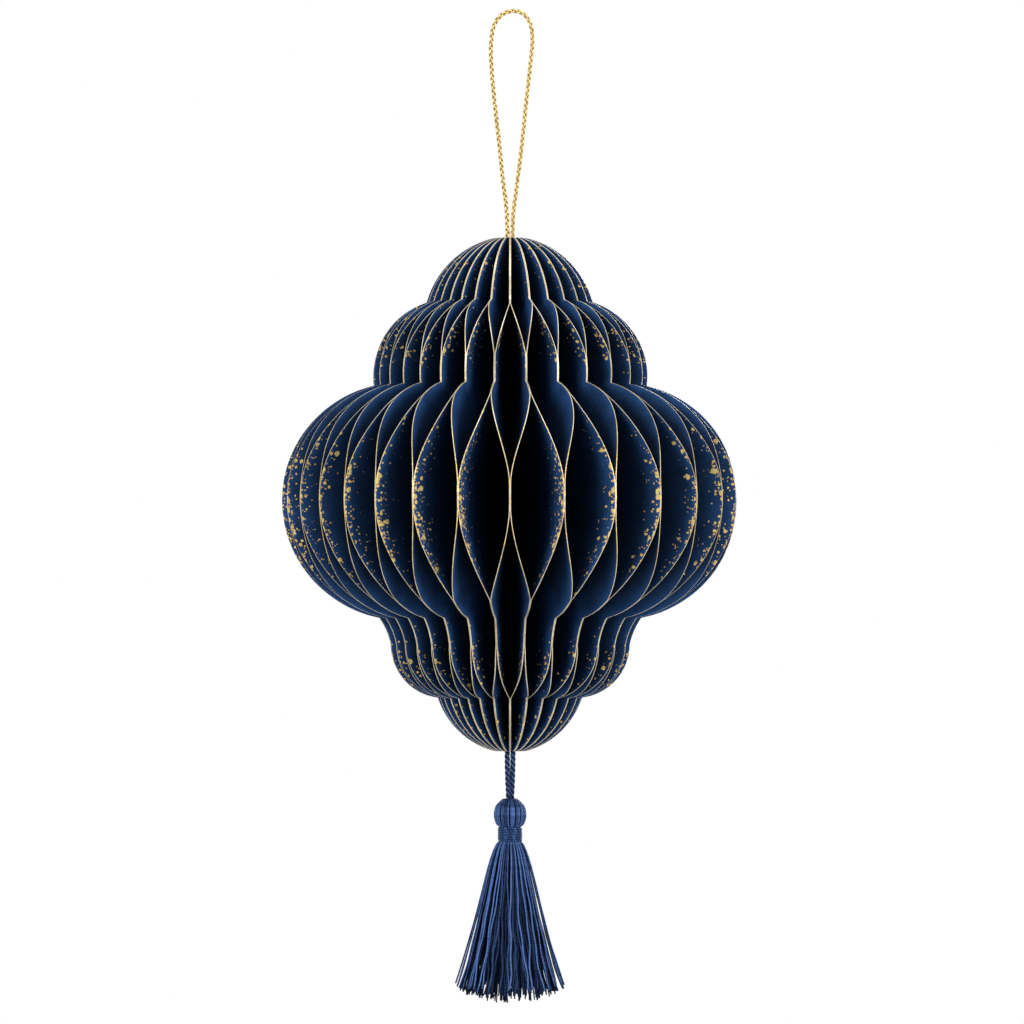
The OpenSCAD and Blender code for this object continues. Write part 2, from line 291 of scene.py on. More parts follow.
# %% Group: filaments along a thread
filaments, given, result = new_group(
    "filaments", {"Count": "Float", "Twist": "Float"}, {"Tone": "Float", "Height": "Float"}
)
thread_map = node(filaments, "UVMap", uv_map="thread").outputs[0]
place = node(filaments, "SeparateXYZ", {0: thread_map}).outputs
turned = calc(filaments, "MULTIPLY_ADD", place["Y"], given["Twist"], place["X"])
waves = calc(filaments, "MULTIPLY", turned, calc(filaments, "MULTIPLY", given["Count"], math.tau))
ridge = calc(filaments, "SINE", waves)
apart = calc(filaments, "MULTIPLY", turned, 9.0)
spread = node(filaments, "CombineXYZ", {0: apart, 1: place["Y"]}).outputs[0]
fleece = node(filaments, "TexNoise", {"Vector": spread, "Scale": 0.9, "Detail": 3.0}).outputs[0]
tone = calc(filaments, "MULTIPLY_ADD", ridge, 0.14, calc(filaments, "MULTIPLY_ADD", fleece, 2.2, -0.5))
filaments.links.new(tone, result.inputs["Tone"])
filaments.links.new(ridge, result.inputs["Height"])
print("Group:", filaments.name)

# %% Group: gold spatter
# Cells to the millimetre, largest radius in cells, share filled at the edge, and millimetres to thin out
FLECK_LAYERS = (
    (0.50, 0.44, 0.75, 0.9),
    (0.90, 0.44, 0.85, 1.0),
    (1.70, 0.44, 0.45, 1.6),
)
RAGGED_SHIFT = (0.4, 0.4, 0.0)

gold_spatter, given, result = new_group(
    "gold_spatter", {"Vector": "Vector", "From edge": "Float", "Amount": "Float"},
    {"Mask": "Float", "Depth": "Float", "Tilt": "Float"},
)
ragged = node(gold_spatter, "TexNoise", {"Vector": given["Vector"], "Scale": 1.4, "Detail": 2.0}).outputs
shift = {0: ragged[1], 1: RAGGED_SHIFT, 2: given["Vector"]}
shifted = node(gold_spatter, "VectorMath", shift, operation="MULTIPLY_ADD").outputs[0]
inside = -1.0
for scale, reach, filled, fade in FLECK_LAYERS:
    pattern = {"Vector": shifted, "Scale": scale}
    cells = node(gold_spatter, "TexVoronoi", pattern, voronoi_dimensions="2D").outputs
    chance = node(gold_spatter, "SeparateXYZ", {0: cells["Color"]}).outputs
    near = calc(gold_spatter, "EXPONENT", calc(gold_spatter, "DIVIDE", given["From edge"], -fade))
    likely = calc(gold_spatter, "MULTIPLY", near, calc(gold_spatter, "MULTIPLY", given["Amount"], filled))
    there = stretch(gold_spatter, calc(gold_spatter, "ADD", likely, chance["X"]), 1.0, 1.05, 0.0, reach)
    grown = calc(gold_spatter, "MULTIPLY", stretch(gold_spatter, given["Amount"], 0.0, 1.0, 0.5, 1.0), there)
    size = calc(gold_spatter, "MULTIPLY", grown, calc(gold_spatter, "MULTIPLY_ADD", chance["Y"], 0.6, 0.4))
    depth = calc(gold_spatter, "DIVIDE", calc(gold_spatter, "SUBTRACT", size, cells["Distance"]), scale)
    inside = calc(gold_spatter, "MAXIMUM", inside, depth)
mask = stretch(gold_spatter, inside, -0.04, 0.04)
tilt = calc(gold_spatter, "MULTIPLY", calc(gold_spatter, "SUBTRACT", ragged[0], 0.5), mask)
gold_spatter.links.new(tilt, result.inputs["Tilt"])
gold_spatter.links.new(mask, result.inputs["Mask"])
# Depth rises from a fleck's rim to its middle; the finishes use it for a painted highlight
gold_spatter.links.new(stretch(gold_spatter, inside, 0.0, 0.14), result.inputs["Depth"])
print("Group:", gold_spatter.name, "with", len(FLECK_LAYERS), "sizes of fleck")

# %% [markdown]
# ## Gold and navy cord
# The gold cord is a plait of three strands, which swing from side to side over and under each other. The
# navy cord is three strands twisted one way. Both are drawn strand by strand along the cord's own line,
# because a bump on a plain tube would leave its outline smooth. Each strand carries a tone of its own, with
# painted shade where it dives under the others and on its side towards the middle of the cord.

# %% Finishes of the cords
FILAMENT_RELIEF = 0.02


def thread_finish(name, dark, light, count, twist, **shader_values):
    """Filaments along a thread, lighter or darker by the thread's tone, which holds its painted shade."""
    material, tree, shader = new_material(name, **shader_values)
    lines = use_group(tree, filaments, {"Count": count, "Twist": twist})
    # The tone attribute carries each thread's painted shade as well as its own tone
    thread_tone = node(tree, "Attribute", attribute_name="tone").outputs["Fac"]
    tone = calc(tree, "MULTIPLY", lines["Tone"], calc(tree, "MULTIPLY", thread_tone, 2.0))
    tree.links.new(mix(tree, tone, dark, light), shader["Base Color"])
    tree.links.new(bump(tree, lines["Height"], FILAMENT_RELIEF), shader["Normal"])
    return material


gold_cord = thread_finish(
    "gold_cord", (0.17, 0.075, 0.01), (1.0, 0.78, 0.34), 5.0, 0.35, Roughness=0.36, Metallic=0.35
)
navy_cord = thread_finish(
    "navy_cord", (0.002, 0.005, 0.024), (0.105, 0.160, 0.34), 5.0, -0.25, Roughness=0.35, Metallic=0.4,
    Specular_IOR_Level=0.04,
)
print("Finishes:", gold_cord.name, navy_cord.name)

# %% Hanging loop
HANG_CORD_D, LOOP_W, CORD_FIT, CORD_SEAT_H = 1.2, 11.0, 0.1, 10.0
LOOP_POINTS = [  # to the side as a share of the loop's width, and below the top as a share of its height
    (-0.073, 0.91), (-0.1, 0.843), (-0.173, 0.743), (-0.264, 0.577), (-0.364, 0.41), (-0.427, 0.293),
    (-0.455, 0.21), (-0.455, 0.143), (-0.409, 0.08), (-0.318, 0.04), (-0.145, 0.01), (0.073, 0),
    (0.273, 0.008), (0.436, 0.037), (0.518, 0.08), (0.536, 0.143), (0.5, 0.21), (0.455, 0.293),
    (0.382, 0.41), (0.291, 0.577), (0.182, 0.743), (0.109, 0.843), (0.073, 0.91),
]
SPINE_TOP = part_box("spine_core")[1].z / MM
HANG_LEG_X, CORD_TOP = (HANG_CORD_D + CORD_FIT) / 2, HANG_CORD_D / 2
seat = [(HANG_LEG_X, 0, SPINE_TOP - share * CORD_SEAT_H) for share in (0, 0.5, 1)]
HANG_ROUTE = [(-x, y, z) for x, y, z in reversed(seat)]
HANG_ROUTE += [(x * LOOP_W, 0, CORD_TOP - drop * (CORD_TOP - SPINE_TOP)) for x, drop in LOOP_POINTS] + seat
PLAIT_STRANDS, PLAIT_SWING = 3, 4.8
PLAIT_HALF_W, PLAIT_HALF_T, PLAIT_STRAND_R = 0.34, 0.2, 0.27
STRAND_SIDES = 8

hang_line = smooth_line(HANG_ROUTE, PLAIT_SWING / 18)
front, side = cross_frames(hang_line)
plait = ThreadWork()
for strand in range(PLAIT_STRANDS):
    swing = math.tau * (run_along(hang_line) / PLAIT_SWING + strand / PLAIT_STRANDS)
    over = np.sin(2 * swing)
    place = hang_line + PLAIT_HALF_W * np.sin(swing)[:, None] * side + PLAIT_HALF_T * over[:, None] * front
    # Painted shade: a strand is darker where it passes between the others
    plait.add(place, PLAIT_STRAND_R, STRAND_SIDES, hang_line, 0.6 + 0.4 * np.abs(over))
hanging_loop = plait.piece("plaited_hanging_loop", gold_cord)
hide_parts("hanging_loop")
print("Hanging loop of", round(run_along(hang_line)[-1]), "mm of plait")

# %% Tassel loop
TASSEL_CORD_D, LEG_TURN, HEAD_SEAT_H, GLUE_FILM = 1.4, math.radians(60), 3.5, 0.05
SPINE_FOOT, TASSEL_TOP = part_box("spine_core")[0].z / MM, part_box("tassel_hank")[1].z / MM
LEG_X = (TASSEL_CORD_D + CORD_FIT) / 2
BIGHT_Z = TASSEL_TOP - HEAD_SEAT_H + GLUE_FILM + TASSEL_CORD_D / 2


def leg_point(share, turn, z):
    return -share * LEG_X * math.cos(turn), -share * LEG_X * math.sin(turn), z


TASSEL_LEG = [leg_point(1, 0, SPINE_FOOT + share * CORD_SEAT_H) for share in (1, 0.5)]
for f in np.linspace(0, 1, 5):
    TASSEL_LEG.append(leg_point(1, f * LEG_TURN, SPINE_FOOT + f * (TASSEL_TOP - SPINE_FOOT)))
TASSEL_LEG += [leg_point(1, LEG_TURN, BIGHT_Z + LEG_X), leg_point(0.7, LEG_TURN, BIGHT_Z + 0.3 * LEG_X)]
TASSEL_ROUTE = TASSEL_LEG + [(0, 0, BIGHT_Z)] + [(-x, -y, z) for x, y, z in reversed(TASSEL_LEG)]
TWIST_TURN = 4.4
TWIST_R, TWIST_STRAND_R, TWIST_PLIES = 0.40, 0.34, 3

tassel_line = smooth_line(TASSEL_ROUTE, TWIST_TURN / 20)
first, second = cross_frames(tassel_line)
twist = ThreadWork()
for ply in range(TWIST_PLIES):
    angle = (math.tau * (ply / TWIST_PLIES - run_along(tassel_line) / TWIST_TURN))[:, None]
    strand = tassel_line + TWIST_R * (np.cos(angle) * first + np.sin(angle) * second)
    twist.add(strand, TWIST_STRAND_R, STRAND_SIDES, tassel_line, 0.4)
tassel_loop = twist.piece("twisted_tassel_loop", navy_cord)
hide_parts("tassel_loop")
print("Tassel loop of", round(run_along(tassel_line)[-1]), "mm of twisted cord")

# %% [markdown]
# ## Paper and gilding
# The sheets are navy paper, painted darker from the rim inwards as the shade of the deep cells. Their cut
# edges are gilded, and flecks of the same gold have landed on the faces beside them: each is orange at its
# rim and painted lighter yellow towards its middle, a painted highlight. One material is for the faces and
# one for the edge. Both take the flecks from the same group, at the same places, so that a fleck runs on
# over the edge.

# %% Finishes of the leaves
# The first colour is painted shade deep in the cells, the second the paper at its lit rim
SHADED_NAVY, RIM_BLUE = (0.002, 0.008, 0.022), (0.025, 0.088, 0.25)
GILT_DULL, GILT_BRIGHT = (0.52, 0.42, 0.24), (0.94, 0.82, 0.58)
# Painted highlight: a fleck is orange gold at its rim and painted lighter yellow towards its middle
FLECK_RIM, FLECK_GOLD_HIGHLIGHT = (0.95, 0.48, 0.08), (1.0, 0.81, 0.33)
FLECK_METAL, PAPER_ROUGH, FLECK_ROUGH = 0.15, 0.66, 0.54
FIBRE_RELIEF, FLECK_TILT = 0.02, 0.35
RIM_FADE = 3.0


def leaf_effects(tree):
    """What both finishes read from a leaf: its fibre, its flecks, their gold with its painted highlight, and
    their tilt.
    """
    leaf_map = node(tree, "SeparateXYZ", {0: node(tree, "UVMap", uv_map="leaf").outputs[0]}).outputs
    place = node(tree, "UVMap", uv_map="spatter").outputs[0]
    landing = {"Vector": place, "From edge": leaf_map["X"], "Amount": leaf_map["Y"]}
    flecks = use_group(tree, gold_spatter, landing)
    fibre = use_group(tree, paper_fibre, {"Vector": node(tree, "TexCoord").outputs["Object"]})
    return fibre, flecks["Mask"], mix(tree, flecks["Depth"], FLECK_RIM, FLECK_GOLD_HIGHLIGHT), flecks["Tilt"]


leaf_paper, tree, shader = new_material("navy_leaf_paper", Specular_IOR_Level=0.08)
fibre, flecks, fleck_gold_and_highlight, tilt = leaf_effects(tree)
# Painted shade: the paper darkens from its rim inwards, sooner where the tier is narrow and more where the
# cell is closed
rim_light_map = node(tree, "SeparateXYZ", {0: node(tree, "UVMap", uv_map="painted_shade").outputs[0]}).outputs
rim_light = calc(tree, "EXPONENT", calc(tree, "DIVIDE", rim_light_map["X"], -RIM_FADE))
blue = mix(tree, calc(tree, "MULTIPLY", rim_light, rim_light_map["Y"]), SHADED_NAVY, RIM_BLUE)
blue = mix(tree, 1.0, blue, fibre["Tone"], "MULTIPLY")
tree.links.new(mix(tree, flecks, blue, fleck_gold_and_highlight), shader["Base Color"])
tree.links.new(calc(tree, "MULTIPLY", flecks, FLECK_METAL), shader["Metallic"])
roughness = calc(tree, "MULTIPLY_ADD", flecks, FLECK_ROUGH - PAPER_ROUGH, PAPER_ROUGH)
tree.links.new(roughness, shader["Roughness"])
relief = calc(tree, "MULTIPLY_ADD", fibre["Height"], FIBRE_RELIEF, calc(tree, "MULTIPLY", tilt, FLECK_TILT))
tree.links.new(bump(tree, relief, 1.0), shader["Normal"])

gilt_edge, tree, shader = new_material("gilt_leaf_edge", Metallic=0.45)
fibre, flecks, fleck_gold_and_highlight, tilt = leaf_effects(tree)
gold = mix(tree, stretch(tree, fibre["Tone"], 0.6, 1.4), GILT_DULL, GILT_BRIGHT)
tree.links.new(mix(tree, flecks, gold, fleck_gold_and_highlight), shader["Base Color"])
tree.links.new(calc(tree, "MULTIPLY_ADD", fibre["Height"], 0.3, 0.3), shader["Roughness"])
print("Finishes:", leaf_paper.name, gilt_edge.name)

# %% [markdown]
# ## One leaf's outline and lean
# The sheets stand in pairs, evenly at the viewer's right and a little crowded at the left, because a fan of
# paper is never pulled open quite evenly. Every sheet has the same cut: seven arcs from the crown to the
# tail. On its way down it leans over to its neighbour on one side, is glued there along a band, crosses to
# the other side and is glued again, and so the cells open. The arcs and bands are those of the solids,
# sampled more closely here.

# %% Fan
LEAF_PAIRS, LEAF_T, SPINE_EASE = 27, 0.2, 0.2
FAN_PUSH, PUSH_START, PUSH_PEAK = 20, 80, 240


def pair_turn(pair):
    """Turn of a pair from the front."""
    even = pair * 360 / LEAF_PAIRS
    if even < PUSH_PEAK:
        share = max(0, even - PUSH_START) / (PUSH_PEAK - PUSH_START)
    else:
        share = math.cos(math.pi / 2 * (even - PUSH_PEAK) / (360 - PUSH_PEAK)) ** 2
    return math.radians(even + FAN_PUSH * share)


HALF_GAPS = [(pair_turn(pair + 1) - pair_turn(pair)) / 2 for pair in range(LEAF_PAIRS)]
INNER_R = (LEAF_T + GLUE_FILM) / min(HALF_GAPS) + SPINE_EASE


def leaf_place(number):
    """Pair of a leaf, the way it leans from its pair, and the room that it has to lean in."""
    pair, hand = (number - 1) // 2, 1 if number % 2 else -1
    return pair, hand, HALF_GAPS[pair if hand > 0 else pair - 1]


narrowest, widest = (round(2 * math.degrees(gap), 1) for gap in (min(HALF_GAPS), max(HALF_GAPS)))
print("Wedges from", narrowest, "to", widest, "degrees")

# %% Outline
CORNERS = [  # depth below the top, and radius
    (0, INNER_R + 1.5), (17, 22), (39, 36), (69, 60),
    (100, 34.5), (107, 31.5), (121, 19), (135, INNER_R + 1.1),
]


def upright_rise(top, foot):
    """How far an arc stands out that comes upright at its wider end."""
    chord, run = math.hypot(foot[0] - top[0], foot[1] - top[1]), abs(foot[1] - top[1])
    radius = chord**2 / (2 * run)
    return radius - math.sqrt(radius**2 - chord**2 / 4)


def arc_r(top, foot, rise, depth):
    """Radius at a depth on the arc through two corners that stands out by a rise."""
    run, drop = foot[1] - top[1], foot[0] - top[0]
    chord = math.hypot(run, drop)
    radius = (chord**2 / 4 + rise**2) / (2 * rise)
    centre_r = (top[1] + foot[1]) / 2 - (radius - rise) * drop / chord
    away = depth - (top[0] + foot[0]) / 2 - (radius - rise) * run / chord
    return centre_r + math.copysign(1, rise) * np.sqrt(np.maximum(0, radius**2 - away**2))


RISES = [3.3, 4.7, upright_rise(*CORNERS[2:4]), upright_rise(*CORNERS[3:5]), -0.4, 3.5, 2.6]
outline = []
for top, foot, rise in zip(CORNERS, CORNERS[1:], RISES):
    depth = np.linspace(top[0], foot[0], 600)
    outline.append(np.column_stack([depth, arc_r(top, foot, rise, depth), 0 * depth]))
print("Outline of", len(outline), "arcs")

# %% Lean from band to band
# Ends of the band, side it is glued on, and how sharply the sheet comes in above it and leaves below it
BANDS = [
    (0, 18.4, 1, 0, 1.5), (32, 42.5, -1, 0.5, 0.9), (66.4, 71.6, 1, 0, 0),
    (95.4, 107, -1, 1.5, 0.3), (121, 135, 1, 3, 0),
]


def lean(depth):
    """1 or -1 in a band, and on the way from one to the other between two bands."""
    below = next(k for k, band in enumerate(BANDS) if depth <= band[1])
    band, last = BANDS[below], BANDS[below - 1]
    if depth >= band[0]:
        return band[2]
    f = (depth - last[1]) / (band[0] - last[1])
    crossed = f * f * (3 - 2 * f) + f * (1 - f) ** 2 * last[4] - f * f * (1 - f) * band[3]
    return last[2] * (1 - 2 * crossed)


ROW_STEP = 1.3
creases = [d for band in BANDS for d in band[:2]] + [corner[0] for corner in CORNERS]
rows = [p[0] for arc in outline for p in even_line(arc, ROW_STEP)]
rows = [d for d in rows if min(abs(d - crease) for crease in creases) > 0.3]
DEPTHS = np.array(sorted(set(rows) | set(creases)))
whole_outline = np.vstack(outline)
OUTER = np.interp(DEPTHS, whole_outline[:, 0], whole_outline[:, 1])
LEAN = np.array([lean(d) for d in DEPTHS])
print(len(DEPTHS), "rows from crown to tail")

# %% [markdown]
# ## The map on a leaf
# The finishes need to know where each point is on the sheet, how far it is from the cut edge, how much
# gold was flicked on at that height, and how much painted shade lies there. All are worked out once, row by
# row, and written to each leaf's own maps. The gold was flicked from the front and from behind, so it runs
# further in on the sheets that point that way, and the painted shade's fade does too. Gold lands on a face
# where its cell stands open. The painted shade closes in sooner where the tier is narrow, and leaves the rim
# dim where the cell is closed. The columns crowd towards the edge, where the colour changes fastest.

# %% Distance from the edge and amount of gold
COLUMNS, EDGE_STEP = 9, 0.15
LEAST_SEEN = 0.25  # on no sheet do the painted shade's fade and the gold reach in more than four times as far as on the side ones
LEAST_ROUND = 0.5  # and no fleck is drawn out to more than twice its height
# Middle depth, half height and strength of each spattered zone on a leaf's front and on its back
SPATTERED = (
    [(10, 9, 0.35), (71, 25, 1.0), (71, 40, 0.5), (128, 9, 0.3)],
    [(27, 9, 0.75), (112, 8, 0.65)],
)

shares = 1 - (1 - np.arange(COLUMNS + 1) / COLUMNS) ** 2
RADII = INNER_R + (OUTER - INNER_R)[:, None] * shares
edge_line = even_line(whole_outline, EDGE_STEP)[:, :2]
grid_points = np.dstack([np.broadcast_to(DEPTHS[:, None], RADII.shape), RADII])
reaches = np.linalg.norm(grid_points[:, :, None] - edge_line, axis=3)
FROM_EDGE = reaches.min(axis=2)
FROM_EDGE[:, -1] = 0
# How far the cell stands open before a leaf's front and behind its back
OPEN = (1 + LEAN) / 2, (1 - LEAN) / 2
GOLD_FALL = 0.4
AMOUNT = [
    gap**GOLD_FALL * np.max([s * np.exp(-(((DEPTHS - m) / h) ** 2)) for m, h, s in zones], axis=0)
    for gap, zones in zip(OPEN, SPATTERED)
]
LEAST_WIDE, LEAST_RIM = 0.12, 0.25
WIDE = np.maximum(LEAST_WIDE, OUTER / OUTER.max())
RIM_WIDTH = [WIDE * (LEAST_RIM + (1 - LEAST_RIM) * gap) for gap in OPEN]
RIM_LIGHT_REACH, RIM_LIGHT_FALL = (1.0, 0.75), (0.3, 0.7)  # on the fronts and on the backs, where the painted light at the rim reaches less far and fades faster as the cell closes
RIM_LIGHT_RUN = [FROM_EDGE / (reach * width)[:, None] for reach, width in zip(RIM_LIGHT_REACH, RIM_WIDTH)]
RIM_LIGHT_STRENGTH = [gap**fall for fall, gap in zip(RIM_LIGHT_FALL, OPEN)]


def seen_share(number):
    """Share of a distance on the sheet that is seen from the front or from behind."""
    pair, hand, room = leaf_place(number)
    return max(LEAST_SEEN, abs(math.sin(pair_turn(pair) + hand * room / 2)))


print("Edge distances up to", round(FROM_EDGE.max(), 1), "mm")

# %% [markdown]
# ## The 54 leaves
# Each leaf starts as a flat grid, is moved row by row to its lean, and gets its thickness by extruding the
# whole sheet to the other face. The walls that the extrusion leaves round the sheet are its cut edges, and
# they take the gilt. No two real cells open quite alike, so each leaf also sways a little between its
# bands.

# %% Make the leaves
SWAY, SWAY_WAVE, BOW = 0.10, 9.0, 0.25
SHEET_APART = 200  # so far apart are the sheets on the map of the spatter, where no two get the same flecks
draw = random.Random(27)


def leaf_sheet(number):
    """Points of the sheet's middle, row by row, and the direction across it in each row."""
    sway, start = draw.uniform(-SWAY, SWAY), draw.uniform(0, math.tau)
    side = LEAN + (1 - LEAN**2) * sway * np.sin(DEPTHS / SWAY_WAVE + start)
    pair, hand, room = leaf_place(number)
    angle = pair_turn(pair) + hand * room * (1 - side) / 2 - math.pi / 2
    along = np.column_stack([np.cos(angle), np.sin(angle), 0 * angle])
    across = hand * np.column_stack([-np.sin(angle), np.cos(angle), 0 * angle])
    bow = draw.uniform(-BOW, BOW) * (1 - LEAN**2)[:, None] * np.sin(math.pi * shares)
    off = (side * (LEAF_T + GLUE_FILM) / 2)[:, None] + bow
    points = RADII[..., None] * along[:, None] + off[..., None] * across[:, None]
    points[..., 2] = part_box("leaf_01")[1].z / MM - DEPTHS[:, None]
    return points, across


def make_leaf(number):
    points, across = leaf_sheet(number)
    seen = seen_share(number)
    flattened = max(LEAST_ROUND, seen)
    bm = bmesh.new()
    leaf_map, spatter, painted_shade = (bm.loops.layers.uv.new(name) for name in ("leaf", "spatter", "painted_shade"))
    row, column = bm.verts.layers.int.new("row"), bm.verts.layers.int.new("column")
    last = len(DEPTHS) - 1
    bmesh.ops.create_grid(bm, x_segments=COLUMNS, y_segments=last, size=0.5)
    for v in bm.verts:
        v[row], v[column] = round((v.co.y + 0.5) * last), round((v.co.x + 0.5) * COLUMNS)
        v.co = (points[v[row], v[column]] - across[v[row]] * LEAF_T / 2) * MM
    back = set(bm.faces)
    made = bmesh.ops.extrude_face_region(bm, geom=bm.faces[:], use_keep_orig=True)["geom"]
    for v in (x for x in made if isinstance(x, bmesh.types.BMVert)):
        v.co += Vector(across[v[row]]) * LEAF_T * MM
    broad = back | {x for x in made if isinstance(x, bmesh.types.BMFace)}
    for face in bm.faces:
        face.smooth = True
        face.material_index = 0 if face in broad else 1
        behind = face in back
        for loop in face.loops:
            k, j = loop.vert[row], loop.vert[column]
            loop[leaf_map].uv = (FROM_EDGE[k, j] * seen, AMOUNT[behind][k])
            loop[spatter].uv = (RADII[k, j] * flattened, DEPTHS[k] + SHEET_APART * (2 * number + behind))
            # The third map holds the painted shade: its distance from the rim and the strength of the lit rim
            loop[painted_shade].uv = (RIM_LIGHT_RUN[behind][k, j] * seen, RIM_LIGHT_STRENGTH[behind][k])
    for edge in bm.edges:
        edge.smooth = len({face.material_index for face in edge.link_faces}) == 1
    bm.verts.layers.int.remove(row)
    bm.verts.layers.int.remove(bm.verts.layers.int["column"])
    return finished_piece(bm, f"paper_leaf_{number:02d}", (leaf_paper, gilt_edge))


for number in range(1, 2 * LEAF_PAIRS + 1):
    leaf = make_leaf(number)
    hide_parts(f"leaf_{number:02d}")
print(2 * LEAF_PAIRS, "leaves of", len(leaf.data.polygons), "faces")

# %% [markdown]
# ## The spine
# The bound inner edges of the sheets hardly show: a dark disc where the cords go in. The solid has the
# right shape, so it only gets a finish of its own, a duller version of the leaf paper.

# %% Finish of the spine
spine_paper, tree, shader = new_material("spine_paper", Roughness=0.8)
fibre = use_group(tree, paper_fibre, {"Vector": node(tree, "TexCoord").outputs["Object"]})
tree.links.new(mix(tree, fibre["Tone"], (0.003, 0.006, 0.02), (0.02, 0.04, 0.12)), shader["Base Color"])
tree.links.new(bump(tree, fibre["Height"], 0.03), shader["Normal"])
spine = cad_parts["spine_core"].data
spine.materials.clear()
spine.materials.append(spine_paper)
print("Finish:", spine_paper.name)

# %% [markdown]
# ## The tassel
# A hank of thread is folded over the cord and bound at the neck. The outer threads run from the head's top
# down over the head, under the binding and out to the hem, each as one thread. More threads fill the skirt
# below the binding, darker the deeper they lie as painted shade, and a core painted dark as shade stands in
# for the hundreds inside. A few threads stray at the sides.

# %% Finishes of the tassel
silk = thread_finish(
    "navy_tassel_thread", (0.001, 0.003, 0.014), (0.090, 0.170, 0.42), 4.0, 0.3, Roughness=0.48, Metallic=0.4,
    Specular_IOR_Level=0.04,
)
binding_silk = thread_finish(
    "navy_binding_thread", (0.003, 0.008, 0.03), (0.075, 0.15, 0.38), 4.0, 0.2, Roughness=0.2, Metallic=0.8,
    Specular_IOR_Level=0.06,
)
# Painted shade: the core is far darker than the threads, for the shade deep inside the hank
shaded_core, tree, shader = new_material("navy_tassel_core_shade", Roughness=0.8, Specular_IOR_Level=0.04)
spot = node(tree, "TexCoord").outputs["Object"]
drawn_out = node(tree, "Mapping", {"Vector": spot, "Scale": (1500.0, 1500.0, 60.0)}).outputs[0]
streaks = node(tree, "TexNoise", {"Vector": drawn_out, "Scale": 1.0, "Detail": 2.0}).outputs[0]
tree.links.new(mix(tree, streaks, (0.002, 0.004, 0.014), (0.012, 0.022, 0.07)), shader["Base Color"])
print("Finishes:", silk.name, binding_silk.name, shaded_core.name)

# %% Lines of the threads
HEAD_H, HEAD_R, HEAD_TOP_R, COLLAR_R = 7.4, 4.3, 2.0, 3.3
NECK_R, WRAP_H, WRAP_TURNS = 2.8, 4.0, 9
SKIRT_H, SKIRT_SPRING, HEM_R, HEM_DROP = 38.4, 1.3, 14.6, 3.8
NECK_TOP = TASSEL_TOP - HEAD_H
NECK_FOOT = NECK_TOP - WRAP_H
THREAD_R = 0.24
CROWN_LINE = [(1.2, 0.25), (1.75, 0.3), (2.4, 0.74), (2.87, 1.22)]  # radius, and drop from the head's top


def head_r(f):
    return arc_r((0, HEAD_TOP_R), (HEAD_H, COLLAR_R), HEAD_R - (HEAD_TOP_R + COLLAR_R) / 2, f * HEAD_H)


def skirt_r(f):
    flare = HEM_R - COLLAR_R - SKIRT_SPRING
    return COLLAR_R + SKIRT_SPRING * (1 - (1 - f) ** 12) + flare * (0.75 * f + 0.25 * f * f)


def neck_rail(inset):
    """Radius and height of a thread under the binding."""
    return [(NECK_R - inset, NECK_TOP - 0.2), (NECK_R - inset, NECK_FOOT + 0.4)]


def head_rail(inset):
    """Radius and height of a thread from inside the top, over the head and under the binding."""
    crown = [(r, TASSEL_TOP - drop) for r, drop in CROWN_LINE]
    over = [(head_r(f) - inset, TASSEL_TOP - f * HEAD_H) for f in (0.27, 0.39, 0.52, 0.66, 0.8, 0.92)]
    return crown + over + neck_rail(inset)


def skirt_rail(inset, share, reach):
    """Radius and height, from the binding to the hem, of a thread at a share of the skirt's radius."""
    fs = np.append((0.02, 0.06), np.linspace(0.12, 1, 18)) * reach
    sag = HEM_DROP * (1 - share**2)
    return [(share * (skirt_r(f) - inset), NECK_FOOT - f * SKIRT_H - sag * f**3) for f in fs]


print("Tassel from", round(TASSEL_TOP, 1), "to", round(NECK_FOOT - SKIRT_H - HEM_DROP, 1), "mm")

# %% Hank of threads
OUTER_THREADS, THREAD_SIDES = 54, 6
SKIRT_CLUMPS, HEAD_CLUMPS, SKIRT_PULLS, HEAD_PULLS = 24, 18, (0.1, 0.7), (0.0, 0.5)
HEAD_TONES, OUTER_TONES, UNDER_SHADED_TONES = (0.25, 1.1), (0.25, 1.35), (0.05, 0.35)
LAYERS = [(0.82, 54), (0.7, 44), (0.56, 34), (0.4, 24), (0.22, 12)]  # share of the radius, threads


def pulled(azimuth, clumps):
    """How far an azimuth is from the middle of its clump."""
    return round(azimuth / math.tau * clumps) * math.tau / clumps - azimuth


def stray_line(rail, azimuth):
    """Turns a rail into a line round the axis that strays and waves more towards the hem."""
    pull, stray = draw.uniform(*SKIRT_PULLS) * pulled(azimuth, SKIRT_CLUMPS), draw.gauss(0, 0.07)
    sway, crimp = draw.uniform(0, math.tau), draw.uniform(0, math.tau)
    start = azimuth + draw.uniform(*HEAD_PULLS) * pulled(azimuth, HEAD_CLUMPS)
    line = []
    for r, z in rail:
        f = max(0.0, (NECK_FOOT - z) / SKIRT_H)
        wave = f * (0.5 * math.sin(8 * f + sway) + 0.22 * math.sin(24 * f + crimp))
        angle = start + pull * f + stray * f * f + wave / max(r, 2)
        line.append((r * math.cos(angle), r * math.sin(angle), z))
    return np.array(line)


def add_thread(start, skirt, azimuth, radius, head_tone, tone):
    """Adds one thread to the hank, with one tone above the binding and one below it."""
    line = stray_line(start + skirt, azimuth)
    tones = [head_tone] * len(start) + [tone] * len(skirt)
    hank.add(line, radius, THREAD_SIDES, line * (0, 0, 1), np.array(tones))


